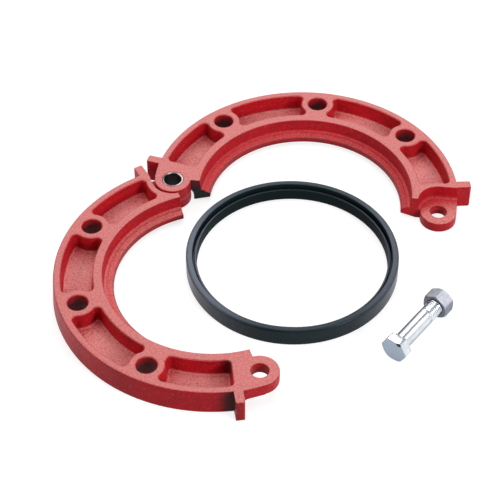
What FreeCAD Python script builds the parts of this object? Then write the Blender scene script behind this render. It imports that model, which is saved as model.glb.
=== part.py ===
import FreeCAD, Part
import math
import os
from FreeCAD import Placement, Rotation, Vector

# Hinged flange adapter for grooved pipe, shown open, with its gasket and closure bolt beside it.
# Millimetres and degrees. +Z is up, the backs of both halves lie on z = 0,
# and the origin is the hinge axis at that height.

# Pipe and flange drilling
pipe_radius = 109.55
groove_depth = 2.35
pipe_to_bolt_circle = 39.7
bolts_on_circle = 8
bolt_hole_radius = 11.1
hole_edge = 0.9

# Ring section
flange_thickness = 28.6
edge_distance = 23.35
outer_draft = 2.2
outer_rounding = 1.6
seal_space = 7.85
recess_depth = 13.8
recess_draft = 1.4
recess_mouth_rounding = 1.0
recess_floor_rounding = 0.6
seal_ledge_width = 3.6
seal_ledge_fall = 0.4
seal_ledge_step = 1.3
step_slope = 0.5
step_rounding = 0.3
key_slope = 2.6
key_clearance = 0.1
key_height = 5.6
key_rounding = 0.7
back_chamfer_width = 17.0

# Cored pockets in the mating face
inner_rim_width = 9.8
outer_rim_width = 7.5
pocket_depth = 18.8
pocket_draft_angle = 4.0
pocket_corner_radius = 5.4
pocket_fillet = 3.2
pocket_rim = 0.9
boss_radius = 18.6
boss_half_angle = 5.5
last_boss_half_angle = 6.2
end_wall_angle = 10.7
seat_wall = 6.4

# Ears, their seats and the pull lugs
ear_radius = 20.2
lower_ear_thickness = 12.4
ear_gap = 1.8
ear_rounding = 1.2
ear_root_overlap = 1.0
seat_clearance = 3.3
seat_fillet = 4.0
split_gap = 1.5
lug_angle = 9.8
lug_thickness = 9.6
lug_reach = 13.2
lug_rounding = 2.4

# Hollow hinge pin that a flange bolt passes through
sleeve_bore_radius = 9.8
sleeve_wall = 1.6
sleeve_flare = 0.4
sleeve_recess = 0.4
sleeve_rounding = 0.5
hinge_fit = 0.05
flare_clearance = 0.2
flare_rounding = 0.15

# Gasket
gasket_side_clearance = 2.4
gasket_height = 20.5
gasket_bevel = 1.4
gasket_crown_width = 5.6
lip_grip = 6.05
lip_width = 2.4
lip_drop = 4.6
lip_slope = 0.8
groove_floor_drop = 8.5
groove_wall_slope = 0.5
toe_chamfer = 2.2
gasket_rounding = 0.7

# Closure bolt and nut
bolt_radius = 9.0
bolt_length = 80.0
thread_length = 34.0
head_height = 11.5
across_flats = 27.0
nut_height = 15.8
nut_position = 63.4
nut_turn = 30.0
thread_relief = 0.2
nut_fit = 0.08
bolt_clearance = 0.5
latch_hole_edge = 0.4
hex_chamfer = 1.4
tip_chamfer = 1.5

# How the open set lies: bearings from the hinge to each ring axis, and the gaps between pieces
left_bearing = -71.19
opening_angle = 64.24
gasket_bearing = -39.3
gasket_gap_from_hinge = 55.9
bolt_gap_from_gasket = 48.5
bolt_head_reach = 41.9
bolt_skew = 0.7

# Sizes worked out from the ones above
origin = Vector(0, 0, 0)
up = Vector(0, 0, 1)
bolt_circle_radius = pipe_radius + pipe_to_bolt_circle
outer_radius = bolt_circle_radius + edge_distance
key_radius = pipe_radius - groove_depth + key_clearance
recess_radius = pipe_radius + seal_space
recess_mouth_radius = recess_radius + recess_draft
recess_floor = flange_thickness - recess_depth
pocket_inner_radius = recess_mouth_radius + inner_rim_width
pocket_outer_radius = outer_radius - outer_draft - outer_rim_width
pocket_floor = flange_thickness - pocket_depth
upper_ear_bottom = lower_ear_thickness + ear_gap
seat_radius = ear_radius + seat_clearance
hole_step = 360.0 / bolts_on_circle
holes_per_half = bolts_on_circle // 2 - 1
sleeve_radius = sleeve_bore_radius + sleeve_wall
gasket_outer_radius = recess_radius - gasket_side_clearance
gasket_inner_radius = pipe_radius - lip_grip
nut_bore_radius = bolt_radius - thread_relief + nut_fit
latch_hole_radius = bolt_radius + bolt_clearance
right_bearing = left_bearing + opening_angle
middle_bearing = left_bearing + opening_angle / 2
gasket_distance = gasket_gap_from_hinge + gasket_outer_radius
bolt_distance = gasket_distance + gasket_outer_radius + bolt_gap_from_gasket
hex_corner_radius = across_flats / math.sqrt(3)
bolt_tilt = math.degrees(math.asin((hex_corner_radius - across_flats / 2)
                                   / (head_height + nut_position)))


def polar(radius, angle, z=0.0):
    turn = math.radians(angle)
    return Vector(radius * math.cos(turn), radius * math.sin(turn), z)


def rounded_outline(corners):
    # Closed outline in the XZ plane: each corner is (x, z, rounding), and a rounding of 0 stays sharp
    edges = []
    starts = []
    ends = []
    count = len(corners)
    for i in range(count):
        here = Vector(corners[i][0], 0, corners[i][1])
        before = Vector(corners[i - 1][0], 0, corners[i - 1][1])
        after = Vector(corners[(i + 1) % count][0], 0, corners[(i + 1) % count][1])
        to_before = (before - here).normalize()
        to_after = (after - here).normalize()
        half_turn = to_before.getAngle(to_after) / 2
        reach = corners[i][2] / math.tan(half_turn)
        starts.append(here + to_before * reach)
        ends.append(here + to_after * reach)
        if corners[i][2] > 0:
            inward = (to_before + to_after).normalize()
            centre = here + inward * (corners[i][2] / math.sin(half_turn))
            middle = centre - inward * corners[i][2]
            edges.append(Part.Arc(starts[i], middle, ends[i]).toShape())
    for i in range(count):
        nearest = starts[(i + 1) % count]
        if ends[i].distanceToPoint(nearest) > 1e-6:
            edges.append(Part.makeLine(ends[i], nearest))
    return Part.Face(Part.Wire(Part.__sortEdges__(edges)))


def turned(corners, sweep=360.0):
    return rounded_outline(corners).revolve(origin, up, sweep)


def ring_section():
    # The ring's section: back at z = 0, mating face on top, pipe key on the inside
    step_radius = recess_radius - seal_ledge_width
    key_top = recess_floor - seal_ledge_step - key_slope
    key_bottom = key_top - key_height
    return [
        (key_radius, key_bottom, key_rounding),
        (key_radius + back_chamfer_width, 0, 0),
        (outer_radius, 0, outer_rounding),
        (outer_radius - outer_draft, flange_thickness, outer_rounding),
        (recess_mouth_radius, flange_thickness, recess_mouth_rounding),
        (recess_radius, recess_floor, recess_floor_rounding),
        (step_radius, recess_floor - seal_ledge_fall, step_rounding),
        (step_radius - step_slope, recess_floor - seal_ledge_step, step_rounding),
        (key_radius, key_top, key_rounding),
    ]


def disc(radius, angle):
    # Disc on the bolt circle whose seam points away from the pockets
    face = Part.Face(Part.Wire(Part.makeCircle(radius, Vector(bolt_circle_radius, 0, 0))))
    return face.rotate(origin, up, angle)


def sector(inner, outer, start, end):
    middle = (start + end) / 2
    outer_arc = Part.Arc(polar(outer, start), polar(outer, middle), polar(outer, end))
    inner_arc = Part.Arc(polar(inner, end), polar(inner, middle), polar(inner, start))
    end_side = Part.makeLine(polar(outer, end), polar(inner, end))
    start_side = Part.makeLine(polar(inner, start), polar(outer, start))
    return Part.Face(Part.Wire([outer_arc.toShape(), end_side, inner_arc.toShape(), start_side]))


def raised(wire, z):
    lifted = wire.copy()
    lifted.translate(Vector(0, 0, z))
    return lifted


def pocket(start, end, bosses):
    # One cored pocket: its spine is a ring sector hollowed round the bosses, and every outline
    # is the spine grown outwards, which rounds the corners
    grow = pocket_corner_radius
    turn = math.degrees(grow / bolt_circle_radius)
    spine = sector(pocket_inner_radius + grow, pocket_outer_radius - grow, start + turn, end - turn)
    for angle, radius in bosses:
        spine = spine.cut(disc(radius + grow, angle))
    spine = spine.Faces[0].OuterWire
    draft = pocket_depth * math.tan(math.radians(pocket_draft_angle))
    floor = spine.makeOffset2D(grow - draft)
    rim = spine.makeOffset2D(grow)
    flare = spine.makeOffset2D(grow + pocket_rim)
    core = Part.makeLoft([raised(floor, pocket_floor), raised(rim, flange_thickness)], True, True)
    foot = [edge for edge in core.Edges if edge.BoundBox.ZMax < pocket_floor + 0.01]
    core = core.makeFillet(pocket_fillet, foot)
    mouth = Part.makeLoft([raised(rim, flange_thickness - pocket_rim),
                           raised(flare, flange_thickness)], True, True)
    return core.fuse(mouth)


def pockets():
    cores = []
    last = holes_per_half
    for i in range(last + 1):
        start = i * hole_step + boss_half_angle
        end = (i + 1) * hole_step - boss_half_angle
        bosses = [(i * hole_step, boss_radius), ((i + 1) * hole_step, boss_radius)]
        if i == 0:
            start = end_wall_angle
            bosses[0] = (0, seat_radius + seat_wall)
        if i == last:
            start = i * hole_step + last_boss_half_angle
            end = 180 - end_wall_angle
            bosses.pop()
        cores.append(pocket(start, end, bosses))
    return cores


def ear(bottom, top):
    # Tongue on the bolt circle at angle 0, rooted in the ring
    root = Part.makeBox(2 * ear_radius, seat_radius + ear_root_overlap, top - bottom,
                        Vector(bolt_circle_radius - ear_radius, 0, bottom))
    eye = Part.makeCylinder(ear_radius, top - bottom, Vector(bolt_circle_radius, 0, bottom))
    tongue = eye.fuse(root).removeSplitter()
    edges = [edge for edge in tongue.Edges
             if edge.BoundBox.ZLength < 0.01 and edge.BoundBox.YMin < 0.01 - ear_radius]
    return tongue.makeFillet(ear_rounding, edges)


def seat(bottom, top, foot_height):
    # Hollow that clears the other half's ear at angle 0; the fillet lies along foot_height
    low = -2 * ear_radius
    far = bolt_circle_radius + 4 * ear_radius
    left = bolt_circle_radius - seat_radius
    arc = Part.Arc(Vector(left, 0, bottom),
                   Vector(bolt_circle_radius - seat_radius * math.sqrt(0.5),
                          seat_radius * math.sqrt(0.5), bottom),
                   Vector(bolt_circle_radius, seat_radius, bottom)).toShape()
    corners = [Vector(bolt_circle_radius, seat_radius, bottom), Vector(far, seat_radius, bottom),
               Vector(far, low, bottom), Vector(left, low, bottom), Vector(left, 0, bottom)]
    outline = Part.Wire([arc] + Part.makePolygon(corners).Edges)
    hollow = Part.Face(outline).extrude(Vector(0, 0, top - bottom))
    foot = []
    for edge in hollow.Edges:
        box = edge.BoundBox
        on_foot = abs(box.ZMin - foot_height) < 0.01 and box.ZLength < 0.01
        if on_foot and box.YMin > -0.01 and box.YMax > seat_radius - 0.01 and box.XLength > 1:
            foot.append(edge)
    return hollow.makeFillet(seat_fillet, foot)


def lug():
    reach = outer_radius + lug_reach
    bar = Part.makeBox(reach - bolt_circle_radius, lug_thickness, flange_thickness,
                       Vector(bolt_circle_radius, -lug_thickness / 2, 0))
    edges = [edge for edge in bar.Edges if edge.BoundBox.XMin > reach - 0.01]
    bar = bar.makeFillet(lug_rounding, edges)
    return bar.rotate(origin, up, lug_angle)


def end_trim():
    # Space beside the ear, outside the ring, that both halves leave open
    return Part.makeBox(3 * ear_radius, seat_radius + 3 * ear_radius, flange_thickness,
                        Vector(bolt_circle_radius + ear_radius, -3 * ear_radius, 0))


def at_far_end(shape):
    # Mirror image across the YZ plane, for the end at angle 180
    return shape.mirror(origin, Vector(1, 0, 0))


def edged_hole(radius, centre, bottom, top, edge):
    # Drilled hole with a small lead-in at both mouths
    x, y = centre.x, centre.y
    hole = Part.makeCylinder(radius, top - bottom, Vector(x, y, bottom))
    low = Part.makeCone(radius + edge, radius, edge, Vector(x, y, bottom))
    high = Part.makeCone(radius, radius + edge, edge, Vector(x, y, top - edge))
    return hole.fuse([low, high])


def hinge_hole():
    # Bore for the sleeve, opened out at both faces for its flares
    radius = sleeve_radius + hinge_fit
    flare = sleeve_flare + flare_clearance
    depth = sleeve_recess + flare
    return edged_hole(radius, Vector(0, 0, 0), 0, flange_thickness, depth)


def half_casting(hinge_at_lower_ear):
    # Local frame: ring axis at the origin, lower ear at angle 0, upper ear at angle 180
    body = turned(ring_section(), 180.0)
    reach = 2 * outer_radius
    body = body.cut(Part.makeBox(2 * reach, reach, flange_thickness,
                                 Vector(-reach, split_gap / 2 - reach, 0)))
    body = body.fuse([lug(), at_far_end(lug())])
    upper_side = seat(lower_ear_thickness, flange_thickness, lower_ear_thickness)
    lower_side = at_far_end(seat(0, upper_ear_bottom, upper_ear_bottom))
    body = body.cut([upper_side, lower_side, end_trim(), at_far_end(end_trim())])
    body = body.fuse([ear(0, lower_ear_thickness),
                      at_far_end(ear(upper_ear_bottom, flange_thickness))])
    body = body.removeSplitter()
    holes = []
    for i in range(1, holes_per_half + 1):
        centre = polar(bolt_circle_radius, i * hole_step)
        holes.append(edged_hole(bolt_hole_radius, centre, 0, flange_thickness, hole_edge))
    hinge_side = 1 if hinge_at_lower_ear else -1
    hinge = hinge_hole()
    hinge.translate(Vector(hinge_side * bolt_circle_radius, 0, 0))
    latch = Vector(-hinge_side * bolt_circle_radius, 0, 0)
    if hinge_at_lower_ear:
        low, high = upper_ear_bottom, flange_thickness
    else:
        low, high = 0, lower_ear_thickness
    holes.append(hinge)
    holes.append(edged_hole(latch_hole_radius, latch, low, high, latch_hole_edge))
    return body.cut(pockets()).cut(holes)


def left_half():
    shape = half_casting(True)
    shape.Placement = Placement(polar(bolt_circle_radius, left_bearing),
                                Rotation(up, left_bearing + 180))
    return shape


def right_half():
    shape = half_casting(False)
    shape.Placement = Placement(polar(bolt_circle_radius, right_bearing),
                                Rotation(up, right_bearing))
    return shape


def hinge_sleeve():
    # Tube rolled outwards at both ends into the ears' countersinks, flush with the back
    high = flange_thickness - sleeve_recess
    return turned([
        (sleeve_bore_radius, 0, 0),
        (sleeve_radius + sleeve_flare, 0, flare_rounding),
        (sleeve_radius, sleeve_flare, 0),
        (sleeve_radius, high - sleeve_flare, 0),
        (sleeve_radius + sleeve_flare, high, flare_rounding),
        (sleeve_bore_radius, high, sleeve_rounding),
    ])


def gasket():
    # Rubber ring: outer wall and bevelled crown, a groove, and the lip that grips the pipe
    crown = gasket_height
    outer = gasket_outer_radius
    groove_outer = outer - gasket_bevel - gasket_crown_width
    lip_outer = gasket_inner_radius + lip_width
    ring = turned([
        (gasket_inner_radius, toe_chamfer, gasket_rounding),
        (gasket_inner_radius + toe_chamfer, 0, gasket_rounding),
        (outer, 0, gasket_rounding),
        (outer, crown - gasket_bevel, gasket_rounding),
        (outer - gasket_bevel, crown, gasket_rounding),
        (groove_outer, crown, gasket_rounding),
        (groove_outer - groove_wall_slope, crown - groove_floor_drop, gasket_rounding / 2),
        (lip_outer, crown - groove_floor_drop, gasket_rounding / 2),
        (lip_outer, crown - lip_drop, gasket_rounding),
        (gasket_inner_radius, crown - lip_drop - lip_slope, gasket_rounding),
    ])
    ring.translate(polar(gasket_distance, gasket_bearing))
    return ring


def hexagon(start, length, turned_by):
    # Hexagonal prism along +X, its flats above and below when turned_by is 0
    points = []
    for i in range(7):
        turn = math.radians(60 * i + turned_by)
        points.append(Vector(start, hex_corner_radius * math.cos(turn),
                             hex_corner_radius * math.sin(turn)))
    return Part.Face(Part.makePolygon(points)).extrude(Vector(length, 0, 0))


def along_bolt(shape):
    # The head lies on one flat and the nut on one corner, which tilts the bolt a little
    height = across_flats / 2 * math.cos(math.radians(bolt_tilt))
    place = polar(bolt_distance, middle_bearing, height)
    place = place + polar(bolt_head_reach, middle_bearing - 90)
    heading = Rotation(up, middle_bearing + 90 + bolt_skew)
    shape.Placement = Placement(place, heading * Rotation(Vector(0, 1, 0), -bolt_tilt))
    return shape


def closure_bolt():
    # Hex bolt along +X: crowned head at x = 0, plain shank, thread zone, chamfered tip
    x_axis = Vector(1, 0, 0)
    crown_start = hex_corner_radius - hex_chamfer * math.sqrt(3)
    crown = Part.makeCone(crown_start, crown_start + head_height * math.sqrt(3), head_height,
                          origin, x_axis)
    head = hexagon(0, head_height, 0).common(crown)
    plain = Part.makeCylinder(bolt_radius, bolt_length - thread_length,
                              Vector(head_height, 0, 0), x_axis)
    thread_start = head_height + bolt_length - thread_length
    body = thread_length - tip_chamfer
    thread_radius = bolt_radius - thread_relief
    thread = Part.makeCylinder(thread_radius, body, Vector(thread_start, 0, 0), x_axis)
    tip = Part.makeCone(thread_radius, thread_radius - tip_chamfer, tip_chamfer,
                        Vector(thread_start + body, 0, 0), x_axis)
    return along_bolt(head.fuse([plain, thread, tip]))


def closure_nut():
    start = head_height + nut_position
    x_axis = Vector(1, 0, 0)
    crown_start = hex_corner_radius - hex_chamfer * math.sqrt(3)
    far_radius = crown_start + nut_height * math.sqrt(3)
    near = Part.makeCone(crown_start, far_radius, nut_height, Vector(start, 0, 0), x_axis)
    far = Part.makeCone(far_radius, crown_start, nut_height, Vector(start, 0, 0), x_axis)
    blank = hexagon(start, nut_height, nut_turn).common(near).common(far)
    bore = Part.makeCylinder(nut_bore_radius, nut_height, Vector(start, 0, 0), x_axis)
    mouth = Part.makeCone(nut_bore_radius + hex_chamfer, nut_bore_radius, hex_chamfer,
                          Vector(start, 0, 0), x_axis)
    back = Part.makeCone(nut_bore_radius, nut_bore_radius + hex_chamfer, hex_chamfer,
                         Vector(start + nut_height - hex_chamfer, 0, 0), x_axis)
    return along_bolt(blank.cut(bore.fuse([mouth, back])))


pieces = {
    "left_half": left_half,
    "right_half": right_half,
    "hinge_sleeve": hinge_sleeve,
    "gasket": gasket,
    "closure_bolt": closure_bolt,
    "closure_nut": closure_nut,
}

os.makedirs("parts", exist_ok=True)
for name, make in pieces.items():
    shape = make()
    shape.exportStep("parts/" + name + ".step")
    print(name, "valid", shape.isValid(), "solids", len(shape.Solids),
          "volume cm3", round(shape.Volume / 1000, 1), "faces", len(shape.Faces))
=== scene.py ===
import math
import bmesh
import bpy
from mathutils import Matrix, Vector


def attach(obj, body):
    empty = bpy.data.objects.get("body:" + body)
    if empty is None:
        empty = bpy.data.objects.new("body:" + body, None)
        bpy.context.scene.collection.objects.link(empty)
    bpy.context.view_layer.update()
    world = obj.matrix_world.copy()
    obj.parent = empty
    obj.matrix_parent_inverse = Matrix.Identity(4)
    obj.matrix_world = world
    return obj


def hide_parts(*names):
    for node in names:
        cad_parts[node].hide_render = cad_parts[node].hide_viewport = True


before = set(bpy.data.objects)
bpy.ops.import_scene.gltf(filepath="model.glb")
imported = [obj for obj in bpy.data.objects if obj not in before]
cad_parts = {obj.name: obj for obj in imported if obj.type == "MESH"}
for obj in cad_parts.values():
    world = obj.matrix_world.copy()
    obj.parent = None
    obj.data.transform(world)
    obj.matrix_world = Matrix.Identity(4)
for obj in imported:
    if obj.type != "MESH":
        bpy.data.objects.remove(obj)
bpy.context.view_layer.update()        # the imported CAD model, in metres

print("frame loaded:", ", ".join(sorted(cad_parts)))


# the photograph's viewpoint
camera = {
    "place": (0.0850, -1.3777, 1.3000),
    "tilt": 44.86,            # degrees from straight down
    "roll": -0.07,
    "lens": 120.25,           # mm
    "sensor": 36.0,
    "clip": (0.05, 50.0),
}

camData = bpy.data.cameras.new("view")
camData.lens = camera["lens"]
camData.sensor_width = camera["sensor"]
camData.clip_start, camData.clip_end = camera["clip"]
camObject = bpy.data.objects.new("view", camData)
camObject.location = camera["place"]
camObject.rotation_euler = (math.radians(camera["tilt"]), 0, math.radians(camera["roll"]))
bpy.context.collection.objects.link(camObject)
bpy.context.scene.camera = camObject
bpy.context.scene.view_settings.view_transform = "Standard"
print("camera set")


class Wire:
    # one socket in a node tree; sums and products add the Math node they need
    def __init__(self, nodes, socket):
        self.nodes = nodes
        self.socket = socket

    def other(self, output):
        return Wire(self.nodes, self.socket.node.outputs[output])

    def __add__(self, other):
        return self.nodes.maths("ADD", self, other)

    def __radd__(self, other):
        return self.nodes.maths("ADD", other, self)

    def __sub__(self, other):
        return self.nodes.maths("SUBTRACT", self, other)

    def __rsub__(self, other):
        return self.nodes.maths("SUBTRACT", other, self)

    def __mul__(self, other):
        return self.nodes.maths("MULTIPLY", self, other)

    def __rmul__(self, other):
        return self.nodes.maths("MULTIPLY", other, self)

    def __pow__(self, other):
        return self.nodes.maths("POWER", self, other)


class Nodes:
    # a node tree and the short ways to add to it
    def __init__(self, tree):
        self.tree = tree

    def node(self, kind, settings=None, inputs=None, output=0):
        made = self.tree.nodes.new(kind)
        for key, value in (settings or {}).items():
            setattr(made, key, value)
        for key, value in (inputs or {}).items():
            self.feed(made.inputs[key], value)
        return Wire(self, made.outputs[output])

    def feed(self, socket, value):
        if isinstance(value, Wire):
            self.tree.links.new(value.socket, socket)
        elif isinstance(value, tuple) and len(value) == 3 and socket.type == "RGBA":
            socket.default_value = (*value, 1.0)
        else:
            socket.default_value = value

    def maths(self, operation, first, second):
        return self.node("ShaderNodeMath", {"operation": operation}, {0: first, 1: second})

    def vector(self, operation, first, second, output="Vector"):
        return self.node("ShaderNodeVectorMath", {"operation": operation},
                         {0: first, 1: second}, output)

    def part(self, vector, letter):
        return self.node("ShaderNodeSeparateXYZ", {}, {"Vector": vector}, letter)

    def step(self, value, low, high):
        # smooth mask: 0 at low, 1 at high
        return self.node("ShaderNodeMapRange", {"interpolation_type": "SMOOTHSTEP"},
                         {"Value": value, "From Min": low, "From Max": high})

    def seen(self):
        # 1 for what the camera, a mirror or a glass shows, 0 for what lights the object
        path = self.node("ShaderNodeLightPath", output="Is Camera Ray")
        return path + path.other("Is Glossy Ray") + path.other("Is Transmission Ray")


class Finish(Nodes):
    # a material with its shader
    def __init__(self, name, constants):
        self.material = bpy.data.materials.new(name)
        self.material.use_nodes = True
        super().__init__(self.material.node_tree)
        self.shader = self.tree.nodes["Principled BSDF"]
        self.main = Wire(self, self.shader.outputs[0])
        for socket, value in constants.items():
            self.feed(self.shader.inputs[socket], value)

    def shade(self, **links):
        for key, value in links.items():
            self.feed(self.shader.inputs[key.replace("_", " ")], value)

    def combine(self, kind, inputs):
        # a shader node of this kind goes between the shaders and the output
        both = self.node(kind, {}, inputs)
        self.feed(self.tree.nodes["Material Output"].inputs["Surface"], both)

    def place(self):
        return self.node("ShaderNodeTexCoord", output="Object")

    def normal(self):
        return self.node("ShaderNodeTexCoord", output="Normal")

    def noise(self, where, scale, detail=3.0, rough=0.55, warp=0.0):
        return self.node("ShaderNodeTexNoise", {},
                         {"Vector": where, "Scale": scale, "Detail": detail,
                          "Roughness": rough, "Distortion": warp})

    def lines(self, distance, size):
        # noise along one measure only, for turned and machined faces
        return self.node("ShaderNodeTexNoise", {"noise_dimensions": "1D"},
                         {"W": distance * size, "Scale": 1.0, "Detail": 2.0})

    def band(self, value, low, high, softLow, softHigh=None):
        # smooth mask: 1 between low and high
        rise = self.step(value, low - softLow, low)
        return rise * self.step(value, high + (softHigh or softLow), high)

    def blend(self, mask, first, second, way="MIX"):
        return self.node("ShaderNodeMix", {"data_type": "RGBA", "blend_type": way},
                         {0: mask, 6: first, 7: second}, 2)

    def softEdges(self, radius):
        return self.node("ShaderNodeBevel", {"samples": 4}, {"Radius": radius})

    def bump(self, height, distance, strength=1.0, under=None):
        links = {"Strength": strength, "Distance": distance, "Height": height}
        if under:
            links["Normal"] = under
        return self.node("ShaderNodeBump", {}, links)


# red paint over cast iron; in all finishes, (photo) marks a tone that was matched to the
# photograph and may come from its light
redPaint = {
    "red": (0.560, 0.0110, 0.0210),
    "deepRed": (0.400, 0.0085, 0.0150),
    "cloudRange": (0.38, 0.66),         # of the noise, from none to all deep red
    "cloudShare": 0.6,
    "rubbed": (0.68, 0.110, 0.105),     # lighter red on high spots
    "highSpots": (0.54, 0.70),
    "rubbedShare": 0.28,
    "lowSpots": (0.44, 0.30),
    "deepShare": 0.60,
    "gloss": 0.15,
    "roughness": 0.36,
    "cloudSize": 30.0,                  # sizes of the noises, per metre
    "peelSize": 240.0,
    "skinSize": 340,
    "mottleSize": 420,
    "gritSize": 800,
    "mottle": 0.95,                     # how far light and dark grains differ
    "skinDepth": 0.00060,
    "faceDepth": 0.00015,               # what the paint leaves of it on the machined face
    "faceHeight": 0.0282,               # the flat mating face starts here
    "faceCalm": 0.60,                   # how much less wear and grain it has
    "edgeSoftness": 0.0009,

    "paintedSheen": (0.66, 0.210, 0.198),      # painted sheen: a pale layer on the faces that look up, standing in for the light they catch (photo)
    "paintedSheenShare": 0.88,
    "paintedSheenGrit": 1.9,
    "levelNormal": (0.42, 0.97),        # rise of the normal where the painted sheen starts and is full
    "pocketPaintedSheen": (0.80, 0.300, 0.285), # more of it on the pocket floors (photo)
    "pocketFloor": (0.0088, 0.0103),
    "pocketFootShade": (0.61, 0.44),         # openness where the painted sheen ends towards the walls, leaving painted shade at their foot (photo)
    "pocketShare": 0.8,
    "shelf": (0.0116, 0.0188),          # heights of the ears' upper sides, the same there
    "shelfFootShade": (0.92, 0.66),
    "shelfShare": 0.9,

    "leftAxis": (0.04812, -0.14128, 0), # the two ring axes, at rest
    "rightAxis": (0.14815, -0.01806, 0),
    "ledgeRadius": 0.1178,
    "ledgePaintedSheen": (0.66, 0.26),          # share of painted sheen on the seal ledge, left and right half (photo)
    "lineSize": 700.0,                  # fine lines round the bore, per metre (photo)
    "lineRange": (0.40, 0.62),
    "keyEdge": (0.170, 0.026, 0.027),   # dark edge of the pipe key (photo)
    "keyRadius": 0.1073,
    "keyReach": (0.0022, 0.0004),       # outside that radius, from none to all dark
    "keyShare": 0.75,

    "hollowShade": (0.018, 0.0085, 0.0092),   # painted shade in the holes and the deep corners (photo)
    "hollowShadeReach": 0.030,
    "hollowShadeOpenness": (0.47, 0.18),
    "hollowShadeShare": 0.95,
    "corner": (0.012, 0.0065, 0.0075),  # painted shadow in two corners by the latch's pull lug (photo)
    "latchShadowPlaces": ((0.0700, -0.3128, 0), (0.0682, -0.2658, 0)),
    "latchShadowReach": (0.0180, 0.0025),
    "latchShadowShare": 0.88,
    "recessWall": (0.1205, 0.1235),     # the recess keeps clear of them: radii inside its wall
    "endFace": (0.012, 0.0125, 0.013),  # dark end face at the hinge (photo)
    "endNormal": (-0.12, -0.993, 0.0),
    "endFacing": (0.90, 0.98),          # cosine to that normal, from none to all dark
    "endPlane": -0.0008,
    "endLimit": 0.08,
    "endFade": (0.014, 0.030),          # heights over which it gets a little lighter
    "endFadeShare": 0.35,
}


def makeRedCasting(name):
    p = redPaint
    f = Finish(name, {"IOR": 1.5, "Specular IOR Level": p["gloss"]})
    where = f.place()
    height = f.part(where, "Z")
    flat = f.vector("MULTIPLY", where, (1, 1, 0))
    face = f.step(height, p["faceHeight"] - 0.0010, p["faceHeight"])
    rough = 1 - face * p["faceCalm"]
    skin = f.noise(where, p["skinSize"], 4.0, 0.60)
    grit = f.noise(where, p["gritSize"], 2.0, 0.60)
    speck = grit - 0.5
    peel = f.noise(where, p["peelSize"], 2.0, 0.40)
    cloud = f.step(f.noise(where, p["cloudSize"], 3.0), *p["cloudRange"])
    clear = f.node("ShaderNodeAmbientOcclusion", {"samples": 8, "only_local": True},
                   {"Distance": p["hollowShadeReach"]}, "AO")

    # where the painted sheen lies: on what looks up, but less on the ledge, and left off as
    # painted shade at the foot of walls
    rise = f.part(f.node("ShaderNodeNewGeometry", output="Normal"), "Z")
    upward = f.step(rise, *p["levelNormal"])
    level = upward
    shelf = f.band(height, *p["shelf"], 0.0008)
    rim = 0.0
    for axis, share in zip((p["leftAxis"], p["rightAxis"]), p["ledgePaintedSheen"]):
        fromAxis = f.vector("DISTANCE", flat, axis, "Value")
        ledge = f.step(fromAxis, p["ledgeRadius"] + 0.0004, p["ledgeRadius"] - 0.0004)
        turned = f.lines(fromAxis + height, p["lineSize"]) + speck * 0.3
        turned = f.step(turned, *p["lineRange"])
        level = level * (1 - ledge * (1 - share * (0.65 + turned * 0.75)))
        shelf = shelf * (1 - ledge)
        rim = rim + f.step(fromAxis - p["keyRadius"], *p["keyReach"])
    # painted shade: the sheen is left off at the foot of the ears' and pockets' walls, where the
    # ambient occlusion is low
    shelfFootShade = f.step(clear + speck * 0.2, *p["shelfFootShade"])
    level = level * (1 - shelf * shelfFootShade * p["shelfShare"])
    pocket = f.band(height, *p["pocketFloor"], 0.0020, 0.0015)
    pocketFootShade = f.step(clear + speck * 0.25, *p["pocketFootShade"])
    level = level * (1 - pocket * pocketFootShade * p["pocketShare"])

    # the tones, one over the other
    paint = f.blend(cloud * p["cloudShare"], p["red"], p["deepRed"])
    # painted sheen: a pale layer over the faces that look up, paler still on the pocket floors
    paintedSheenLayer = f.blend(pocket, p["paintedSheen"], p["pocketPaintedSheen"])
    paint = f.blend(level * (p["paintedSheenShare"] + speck * (p["paintedSheenGrit"] - face * 0.6)), paint, paintedSheenLayer)
    high = f.step(skin, *p["highSpots"])
    low = f.step(skin, *p["lowSpots"])
    # painted shade where the ambient occlusion is low: in holes and deep corners
    deep = f.step(clear + speck * 0.15, *p["hollowShadeOpenness"])
    paint = f.blend(high * rough * p["rubbedShare"], paint, p["rubbed"])
    paint = f.blend(low * rough * p["deepShare"], paint, p["deepRed"])
    paint = f.blend(rim * f.step(skin, 0.30, 0.66) * p["keyShare"], paint, p["keyEdge"])
    paint = f.blend(deep * p["hollowShadeShare"], paint, p["hollowShade"])

    # painted shadow in two corners by the latch, but not through the wall into the recess
    outside = f.step(f.vector("DISTANCE", flat, p["leftAxis"], "Value"), *p["recessWall"])
    for spot in p["latchShadowPlaces"]:
        near = f.step(f.vector("DISTANCE", flat, spot, "Value"), *p["latchShadowReach"])
        paint = f.blend(near * outside * (1 - upward) * p["latchShadowShare"], paint, p["corner"])

    # the dark end face: its direction, its plane and the hinge's side of the ring
    facing = f.vector("DOT_PRODUCT", f.normal(), p["endNormal"], "Value")
    along = f.vector("DOT_PRODUCT", where, p["endNormal"], "Value")
    end = f.step(facing, *p["endFacing"])
    end = end * f.band(along, p["endPlane"] - 0.0003, p["endPlane"] + 0.0003, 0.0005)
    end = end * f.step(f.part(where, "X"), p["endLimit"], p["endLimit"] - 0.01)
    fade = f.step(height, *p["endFade"])
    paint = f.blend(end * (1 - fade * p["endFadeShare"]), paint, p["endFace"])

    mottle = f.noise(where, p["mottleSize"], 3.0, 0.60)
    paint = f.blend(1.0, paint, 1.0 + (mottle - 0.5) * p["mottle"], "MULTIPLY")
    roughness = p["roughness"] + speck * 0.22 + rough * 0.07
    depth = p["faceDepth"] / p["skinDepth"]
    relief = (skin + grit * 0.35) * (1 - face * (1 - depth)) + peel * 0.12
    f.shade(Base_Color=paint, Roughness=roughness,
            Normal=f.bump(relief, p["skinDepth"], 0.9, f.softEdges(p["edgeSoftness"])))
    return f.material


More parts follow.
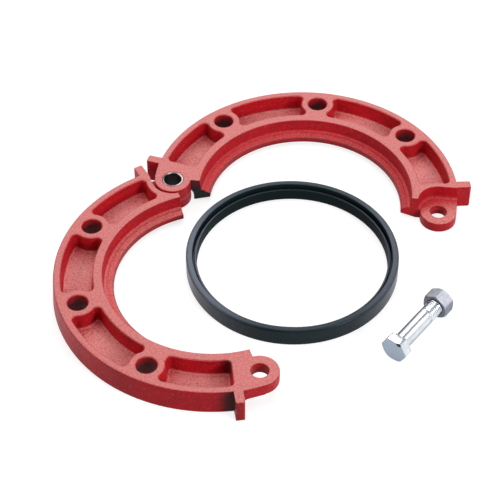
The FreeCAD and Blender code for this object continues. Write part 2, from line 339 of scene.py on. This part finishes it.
# moulded rubber of the gasket
rubber = {
    "black": (0.0035, 0.0120, 0.0150),
    "haze": (0.0100, 0.0190, 0.0260),   # bluish patches (photo)
    "hazeRange": (0.42, 0.70),
    "hazeShare": 0.8,
    "paintedSideSheen": (0.125, 0.138, 0.180),     # painted sheen: paler left and right sides (photo)
    "inner": (0.0060, 0.0125, 0.0150),  # dull walls inside the ring
    "innerRightShade": (0.0010, 0.0025, 0.0035),     # painted shade: darker on the right (photo)
    "middle": (0.13225, -0.10824, 0.0),
    "radius": 0.115,
    "sheen": (0.75, 0.88, 1.0),
    "gloss": 0.14,
    "roughness": 0.30,
    "dullGloss": 0.05,
    "dullRoughness": 0.6,
    "hazeSize": 35.0,                   # sizes of the noises, per metre
    "streakSize": 190.0,
    "grainSize": 900.0,
    "relief": 0.00009,
    "edgeSoftness": 0.0022,
}


def makeBlackRubber(name):
    p = rubber
    f = Finish(name, {"IOR": 1.5, "Specular IOR Level": p["gloss"], "Specular Tint": p["sheen"]})
    where = f.place()
    haze = f.noise(where, p["hazeSize"], 4.0, 0.6)
    grain = f.noise(where, p["grainSize"], 3.0, 0.6)
    streak = f.noise(where, p["streakSize"], 2.0, 0.5, 0.4)

    # places on the ring, with the middle as 0 and its outer wall as 1
    spoke = f.vector("SUBTRACT", where, p["middle"])
    perRadius = 1 / p["radius"]
    side = f.part(spoke, "X") * perRadius
    left = f.step(side, -0.25, -0.95)
    right = f.step(side, 0.45, 0.98)
    far = f.step(f.part(spoke, "Y") * perRadius, 0.20, 0.75)
    normal = f.normal()
    outward = f.vector("DOT_PRODUCT", spoke, normal, "Value") * perRadius
    top = f.step(f.part(normal, "Z"), 0.45, 0.95)
    wall = f.step(outward, 0.60, 0.90)
    inside = f.step(outward, -0.20, -0.70)

    colour = f.blend(f.step(haze, *p["hazeRange"]) * p["hazeShare"], p["black"], p["haze"])
    # painted sheen: a little on all tops, more on the left and right sides and walls
    paintedSheenLayer = top * (0.10 + left * (1 - far * 0.65) * 0.85 + right * 0.45)
    paintedSheenLayer = paintedSheenLayer + wall * (left * 0.42 + right * 0.25)
    colour = f.blend(paintedSheenLayer * (0.65 + grain * 0.7), colour, p["paintedSideSheen"])
    roughness = p["roughness"] + (haze - 0.5) * 0.22 + (grain - 0.5) * 0.12
    bumps = f.bump(grain * 0.35 + streak * 0.65, p["relief"], 0.7, f.softEdges(p["edgeSoftness"]))
    f.shade(Base_Color=colour, Roughness=roughness, Normal=bumps)
    dull = f.node("ShaderNodeBsdfPrincipled", {"name": "dull rubber"},
                  {"Base Color": f.blend(right, p["inner"], p["innerRightShade"]),
                   "Roughness": p["dullRoughness"], "Specular IOR Level": p["dullGloss"],
                   "Normal": bumps})
    f.combine("ShaderNodeMixShader", {0: inside, 1: f.main, 2: dull})
    return f.material


# zinc plate of the bolt and the nut
zincPlate = {
    "boltClean": (0.74, 0.77, 0.82),
    "boltDull": (0.62, 0.66, 0.72),
    "headTone": (0.33, 0.385, 0.46),    # darker end face of the head (photo)
    "headFace": 0.0006,                 # how far the end faces' tone reaches
    "nutClean": (0.46, 0.47, 0.52),     # darker than the bolt (photo)
    "nutDull": (0.36, 0.37, 0.42),
    "nutShade": (0.150, 0.155, 0.180),   # painted shade on the nut's end face towards the head (photo)
    "nutFace": 0.0752,
    "edgeTint": (0.30, 0.32, 0.36),
    "dullRange": (0.36, 0.68),
    "darkReflection": (0.030, 0.034, 0.040),      # painted reflection: dark spot at one corner of the head (photo)
    "darkReflectionPlaces": ((0.0, -0.0036, 0.0121),),
    "darkReflectionSqueeze": (1, 0.62, 1),        # the places are measured in this squeezed space
    "darkReflectionReach": (0.0023, 0.0013),
    "roughness": 0.16,
    "cloudSize": 120.0,                 # sizes of the noises, per metre
    "dentSize": 330.0,
    "grainSize": 1500.0,
    "relief": 0.00008,
}


def makeZincSteel(name, clean, dull, face, faceEnd):
    p = zincPlate
    f = Finish(name, {"Metallic": 1.0, "Specular Tint": p["edgeTint"]})
    where = f.place()
    endFace = f.step(f.part(where, "X"), faceEnd + 0.0004, faceEnd)
    cloud = f.noise(where, p["cloudSize"], 4.0, 0.6)
    grain = f.noise(where, p["grainSize"], 3.0, 0.6)
    dents = f.noise(where, p["dentSize"], 2.0, 0.5)
    colour = f.blend(f.step(cloud, *p["dullRange"]), clean, dull)
    colour = f.blend(endFace, colour, face)
    squeezed = f.vector("MULTIPLY", where, p["darkReflectionSqueeze"])
    # painted reflection at one corner of the head
    for spot in p["darkReflectionPlaces"]:
        near = f.step(f.vector("DISTANCE", squeezed, spot, "Value"), *p["darkReflectionReach"])
        colour = f.blend(near, colour, p["darkReflection"])
    roughness = p["roughness"] + endFace * 0.14 + (cloud - 0.5) * 0.12 + (grain - 0.5) * 0.10
    f.shade(Base_Color=colour, Roughness=roughness,
            Normal=f.bump(grain * 0.3 + dents * 0.7, p["relief"], 0.6))
    return f.material


# turned steel of the hinge sleeve
sleeveSteel = {
    "turned": (0.26, 0.255, 0.25),
    "darkPatch": (0.055, 0.040, 0.040),   # dark patch on the sleeve's end (photo)
    "darkPatchRange": (0.60, 0.44),
    "boreShade": (0.05, 0.045, 0.045),    # painted shade: darker further down the bore (photo)
    "top": 0.0279,
    "boreShadeStart": 0.006,
    "darkPatchSide": 12.0,                  # how strongly the dark patch keeps to one side
    "roughness": 0.34,
    "darkPatchSize": 75.0,                  # sizes of the noises, per metre
    "grainSize": 700.0,
    "ringSize": 2600.0,
    "relief": 0.00004,
}


def makeTurnedSteel(name):
    p = sleeveSteel
    f = Finish(name, {"Metallic": 1.0})
    where = f.place()
    x = f.part(where, "X")
    y = f.part(where, "Y")
    radius = (x * x + y * y) ** 0.5          # the sleeve's axis is the origin
    rings = f.lines(radius, p["ringSize"])
    grain = f.noise(where, p["grainSize"], 3.0)
    patch = f.noise(where, p["darkPatchSize"], 2.0, 0.5) + x * p["darkPatchSide"]
    darkPatchMask = f.step(patch + (grain - 0.5) * 0.3, *p["darkPatchRange"])
    colour = f.blend(darkPatchMask, p["turned"], p["darkPatch"])
    down = f.step(f.part(where, "Z"), p["top"], p["top"] - p["boreShadeStart"])
    colour = f.blend(down, colour, p["boreShade"])
    roughness = p["roughness"] + down * 0.22 + (rings - 0.5) * 0.22
    f.shade(Base_Color=colour, Roughness=roughness,
            Normal=f.bump(rings + grain * 0.5, p["relief"], 0.6))
    return f.material


def dress(node, material):
    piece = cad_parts[node]
    piece.data.materials.clear()
    piece.data.materials.append(material)


redCasting = makeRedCasting("redCasting")
blackRubber = makeBlackRubber("blackRubber")
zincSteel = makeZincSteel("zincSteel", zincPlate["boltClean"], zincPlate["boltDull"],
                          zincPlate["headTone"], zincPlate["headFace"])
nutSteel = makeZincSteel("nutSteel", zincPlate["nutClean"], zincPlate["nutDull"],
                         zincPlate["nutShade"], zincPlate["nutFace"])
turnedSteel = makeTurnedSteel("turnedSteel")
dress("left_half", redCasting)
dress("right_half", redCasting)
dress("gasket", blackRubber)
dress("hinge_sleeve", turnedSteel)
dress("closure_bolt", zincSteel)
dress("closure_nut", nutSteel)
print("finishes made")


# closure bolt and nut, with real threads and chamfers
fastener = {
    "acrossFlats": 0.027,
    "shankRadius": 0.0089,
    "crestRadius": 0.0088,
    "rootRadius": 0.00735,
    "pitch": 0.0025,
    "headHeight": 0.0115,
    "length": 0.080,
    "threadLength": 0.034,
    "nutStart": 0.0749,
    "nutHeight": 0.0158,
    "nutTurn": 30.0,
    "tipChamfer": 0.0015,
    "headMiddle": (0.23321, -0.24329, 0.013495),   # middle of the head's face
    "bearing": 51.63,
    "tilt": 1.598,
    "turns": 72,                                # vertices round the axis
    "cornerWear": 0.00028,                      # off the hexagon's sharp corners
    "cornerSharpness": 0.00022,                 # how gently side and worn corner meet
    "chamferInset": 0.0004,                     # of the end face's rim, inside the flats
    "chamferAngle": 30,
    "chamferLip": 0.00006,                      # the rim's step before the chamfer
    "faceRings": (0.55, 0.97),                  # rings on the end face, as shares of its rim
    "headEdge": ((0.0005, 0.0), (0.00012, 0.00018), (0.0, 0.0007)),   # back and inset
    "fillet": 0.0008,                           # under the head
    "filletTurns": (0, 22, 45, 67, 90),
    "shankStop": 0.004,                         # last plain ring, before the thread
    "runOut": 1.5,                              # pitches over which the thread gets deep
    "rootFlat": 0.10,                           # shares of half a pitch
    "flank": 0.72,
    "rowsPerTurn": 12,
    "threadGap": 0.00006,                       # between crest and the nut's bore
    "nutMouth": 0.0009,
    "closing": 0.00001,                         # ring that closes an end at the axis
    "weld": 0.00003,
    "sharpAngle": 28,
}


def hexRadius(angle, turn=0.0):
    # distance to the hexagon's side, with its corners worn round
    angle = angle - math.radians(turn)
    step = math.radians(60)
    off = (angle + step / 2) % step - step / 2      # flats face up and down: corner at 0
    flat = fastener["acrossFlats"] / 2
    plain = flat / math.cos(step / 2 - abs(off))
    corner = flat / math.cos(step / 2) - fastener["cornerWear"]
    sharp = fastener["cornerSharpness"]
    return -sharp * math.log(math.exp(-plain / sharp) + math.exp(-corner / sharp))


def lathe(rows):
    # skin over rings of points round the +X axis; each row is (x at angle, radius at angle)
    count = fastener["turns"]
    points = []
    faces = []
    for along, radius in rows:
        for i in range(count):
            angle = 2 * math.pi * i / count
            r = radius(angle)
            points.append((along(angle), r * math.cos(angle), r * math.sin(angle)))
    for row in range(len(rows) - 1):
        for i in range(count):
            j = (i + 1) % count
            a = row * count
            faces.append((a + i, a + count + i, a + count + j, a + j))
    return points, faces


def fixed(value):
    return lambda angle: value


def crown(start, way, turn=0.0):
    # rows that turn a hexagon into its round, chamfered end face
    p = fastener
    rim = p["acrossFlats"] / 2 - p["chamferInset"]
    slope = math.tan(math.radians(p["chamferAngle"]))

    def side(angle):
        return hexRadius(angle, turn)

    def chamferedAt(angle):
        return start + way * (side(angle) - rim) * slope

    rows = [(fixed(start), fixed(rim * share)) for share in p["faceRings"]]
    return rows + [(fixed(start + way * p["chamferLip"]), fixed(rim)), (chamferedAt, side)]


def threadRadius(x, angle, start, end):
    # symmetrical 60 degree thread with a run-out at its start and a chamfered tip
    p = fastener
    turn = ((x / p["pitch"]) - angle / (2 * math.pi)) % 1.0
    wave = abs(turn - 0.5) * 2
    wave = min(max((wave - p["rootFlat"]) / p["flank"], 0.0), 1.0)
    fade = min(max((x - start) / (p["runOut"] * p["pitch"]), 0.0), 1.0)
    depth = (p["crestRadius"] - p["rootRadius"]) * fade
    radius = p["crestRadius"] - depth * (1 - wave)
    tip = p["crestRadius"] - p["tipChamfer"] + (end - x)
    return min(radius, tip)


def makeBolt():
    p = fastener
    head = p["headHeight"]
    end = head + p["length"]
    threadStart = end - p["threadLength"]
    rows = [(fixed(0.0), fixed(p["closing"]))] + crown(0.0, 1)
    for back, inset in p["headEdge"]:
        rows.append((fixed(head - back), lambda a, inset=inset: hexRadius(a) - inset))
    for turn in p["filletTurns"]:
        side = math.radians(turn)
        x = head + p["fillet"] * (1 - math.cos(side))
        rows.append((fixed(x), fixed(p["shankRadius"] + p["fillet"] * (1 - math.sin(side)))))
    rows.append((fixed(threadStart - p["shankStop"]), fixed(p["shankRadius"])))
    steps = int(p["threadLength"] / p["pitch"] * p["rowsPerTurn"])
    for k in range(steps + 1):
        x = threadStart + p["threadLength"] * k / steps
        rows.append((fixed(x), lambda a, x=x: threadRadius(x, a, threadStart, end)))
    rows.append((fixed(end), fixed(p["closing"])))
    return lathe(rows)


def makeNut():
    p = fastener
    start = p["nutStart"]
    end = start + p["nutHeight"]
    bore = p["crestRadius"] + p["threadGap"]
    deep = p["nutMouth"]
    rows = [(fixed(end - deep), fixed(bore)), (fixed(start + deep), fixed(bore)),
            (fixed(start), fixed(bore + deep))]
    rows += crown(start, 1, p["nutTurn"])[1:]
    rows += list(reversed(crown(end, -1, p["nutTurn"])[1:]))
    rows += [(fixed(end), fixed(bore + deep)), (fixed(end - deep), fixed(bore))]
    return lathe(rows)


def addFastener(name, skin, material, node):
    # each rides on the body that has its node's name
    points, faces = skin
    mesh = bpy.data.meshes.new(name)
    mesh.from_pydata(points, [], faces)
    mesh.update()
    piece = bpy.data.objects.new(name, mesh)
    bpy.context.collection.objects.link(piece)
    piece.location = fastener["headMiddle"]
    piece.rotation_euler = (0, math.radians(-fastener["tilt"]), math.radians(fastener["bearing"]))
    skinMesh = bmesh.new()
    skinMesh.from_mesh(mesh)
    bmesh.ops.remove_doubles(skinMesh, verts=skinMesh.verts, dist=fastener["weld"])
    bmesh.ops.recalc_face_normals(skinMesh, faces=skinMesh.faces)
    skinMesh.to_mesh(mesh)
    skinMesh.free()
    mesh.shade_smooth()
    mesh.set_sharp_from_angle(angle=math.radians(fastener["sharpAngle"]))
    mesh.materials.append(material)
    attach(piece, node)
    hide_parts(node)


addFastener("threadedBolt", makeBolt(), zincSteel, "closure_bolt")
addFastener("hexNut", makeNut(), nutSteel, "closure_nut")
print("bolt and nut made")


# floor, sky and lamps
studio = {
    "floorSize": 6.0,
    "floorDrop": 0.0002,
    "floorColour": (0.38, 0.38, 0.38),
    "floorGloss": 0.1,
    "floorRoughness": 0.9,
    "floorGlow": 0.78,          # for the camera and mirrors only, so the shadow stays
    "skySeen": 1.0,
    "ceilingSeen": 0.45,        # what mirrors see above the background
    "ceiling": (0.34, 0.50),    # rise of the view where it starts and is full
    "skyLight": 0.10,
}

# area lamps: size in metres, power in watts
lamps = {
    "backLight": {"place": (0.10, 1.75, 1.62), "aim": (0.10, 0.0, 0.0),
                  "size": (1.15, 1.05), "power": 19.0},
    "topLight": {"place": (0.10, 0.25, 2.40), "aim": (0.10, 0.0, 0.0),
                 "size": (1.6, 1.6), "power": 25.0},
    "frontLight": {"place": (1.45, -1.25, 0.85), "aim": (0.1, -0.1, 0.0),
                   "size": (0.6, 0.6), "power": 20.0},
    "rightLight": {"place": (1.6, 0.15, 1.20), "aim": (0.2, -0.1, 0.0),
                   "size": (0.9, 0.9), "power": 3.2},
    "leftLight": {"place": (-1.6, -0.5, 0.90), "aim": (0.0, -0.1, 0.0),
                  "size": (0.9, 0.7), "power": 8.0},
}


def makeFloor():
    size = studio["floorSize"]
    mesh = bpy.data.meshes.new("floor")
    corners = [(-size, -size, 0), (size, -size, 0), (size, size, 0), (-size, size, 0)]
    mesh.from_pydata(corners, [], [(0, 1, 2, 3)])
    floor = bpy.data.objects.new("floor", mesh)
    floor.location = (0, 0, -studio["floorDrop"])
    bpy.context.collection.objects.link(floor)
    f = Finish("palePaper", {"Base Color": studio["floorColour"],
                             "Roughness": studio["floorRoughness"],
                             "Specular IOR Level": studio["floorGloss"]})
    glow = f.node("ShaderNodeEmission", {},
                  {"Color": (1, 1, 1), "Strength": f.seen() * studio["floorGlow"]})
    f.combine("ShaderNodeAddShader", {0: f.main, 1: glow})
    mesh.materials.append(f.material)


def makeSky():
    world = bpy.data.worlds.new("paleSky")
    bpy.context.scene.world = world
    world.use_nodes = True
    sky = Nodes(world.node_tree)
    sky.tree.nodes.clear()
    out = sky.tree.nodes.new("ShaderNodeOutputWorld")
    way = sky.node("ShaderNodeTexCoord", output="Generated")
    ceiling = sky.step(sky.part(way, "Z"), *studio["ceiling"])
    shown = studio["skySeen"] - ceiling * (studio["skySeen"] - studio["ceilingSeen"])
    strength = studio["skyLight"] + sky.seen() * (shown - studio["skyLight"])
    light = sky.node("ShaderNodeBackground", {}, {"Color": (1, 1, 1), "Strength": strength})
    sky.feed(out.inputs["Surface"], light)


def makeLamp(name, lamp):
    data = bpy.data.lights.new(name, "AREA")
    data.shape = "RECTANGLE"
    data.size, data.size_y = lamp["size"]
    data.energy = lamp["power"]
    piece = bpy.data.objects.new(name, data)
    piece.location = lamp["place"]
    aim = Vector(lamp["aim"]) - Vector(lamp["place"])
    piece.rotation_euler = aim.to_track_quat("-Z", "Y").to_euler()
    bpy.context.collection.objects.link(piece)


makeFloor()
makeSky()
for lampName, lamp in lamps.items():
    makeLamp(lampName, lamp)
print("floor and light set")
